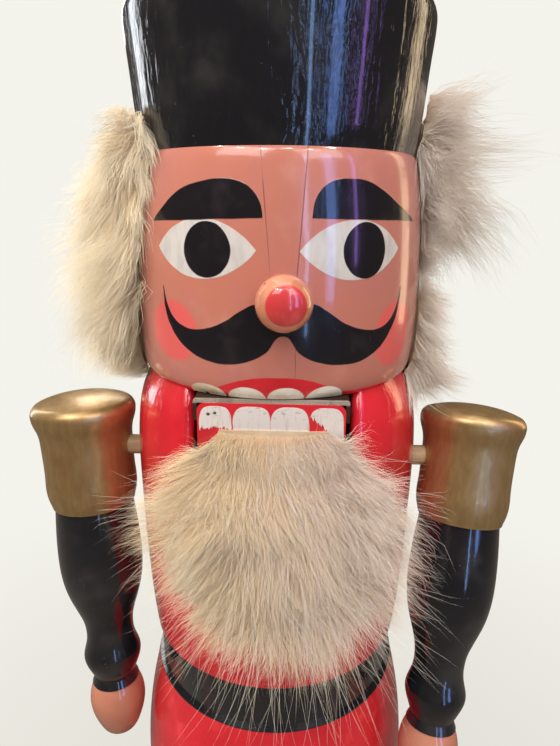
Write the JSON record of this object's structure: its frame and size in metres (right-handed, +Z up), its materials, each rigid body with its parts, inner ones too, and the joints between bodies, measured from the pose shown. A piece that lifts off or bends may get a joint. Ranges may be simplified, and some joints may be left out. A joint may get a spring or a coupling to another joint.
{
  "type": "nutcracker figure",
  "caption": "Turned wooden soldier nutcracker with a lever jaw, swinging arms, tall hat, fur beard and hair, standing on a rectangular base.",
  "frame": {"origin": "centre of the base's underside", "axes": "+Z up through the hat, -Y where the face looks, +X towards the figure's arm seen on the right from the front"},
  "size_m": [0.1903, 0.1355, 0.439],
  "materials": {
    "black_lacquer": "gloss lacquer",
    "white_lacquer": "gloss lacquer",
    "bare_wood": "bare",
    "red_lacquer": "gloss lacquer",
    "skin_lacquer": "gloss lacquer",
    "gold_paint": "metallic satin paint",
    "steel": "worn sheet",
    "hair_fur": "long fur",
    "beard_fur": "long fur"
  },
  "bodies": {
    "figure": {"base": "black_lacquer", "left_boot": "black_lacquer", "right_boot": "black_lacquer", "left_toe": "black_lacquer", "right_toe": "black_lacquer", "left_leg": "white_lacquer", "right_leg": "white_lacquer", "leg_dowels": "bare_wood", "body": "red_lacquer", "neck_dowels": "bare_wood", "head": "skin_lacquer", "forehead_inlay": "skin_lacquer", "nose": "skin_lacquer", "hat": "black_lacquer", "hat_dowel": "bare_wood", "hair": "hair_fur", "pivot_pin": "steel", "pin_plugs": "red_lacquer"},
    "jaw_lever": {"jaw": "red_lacquer", "jaw_plate": "steel", "plate_nails": "steel", "beard": "beard_fur"},
    "left_arm_body": {"left_shoulder_dowel": "bare_wood", "left_shoulder_cap": "gold_paint", "left_arm": "black_lacquer", "left_hand": "skin_lacquer"},
    "right_arm_body": {"right_shoulder_dowel": "bare_wood", "right_shoulder_cap": "gold_paint", "right_arm": "black_lacquer", "right_hand": "skin_lacquer"}
  },
  "joints": [
    {"name": "jaw_open", "type": "hinge", "parent": "figure", "child": "jaw_lever", "pos_m": [0, -0.006, 0.2735], "axis": [1, 0, 0], "range_deg": [0, 18], "deforming": ["beard"]},
    {"name": "left_arm_swing", "type": "hinge", "parent": "figure", "child": "left_arm_body", "pos_m": [-0.0745, -0.008, 0.286], "axis": [-1, 0, 0], "range_deg": [-25, 100]},
    {"name": "right_arm_swing", "type": "hinge", "parent": "figure", "child": "right_arm_body", "pos_m": [0.0745, -0.008, 0.284], "axis": [-1, 0, 0], "range_deg": [-3, 90]}
  ]
}
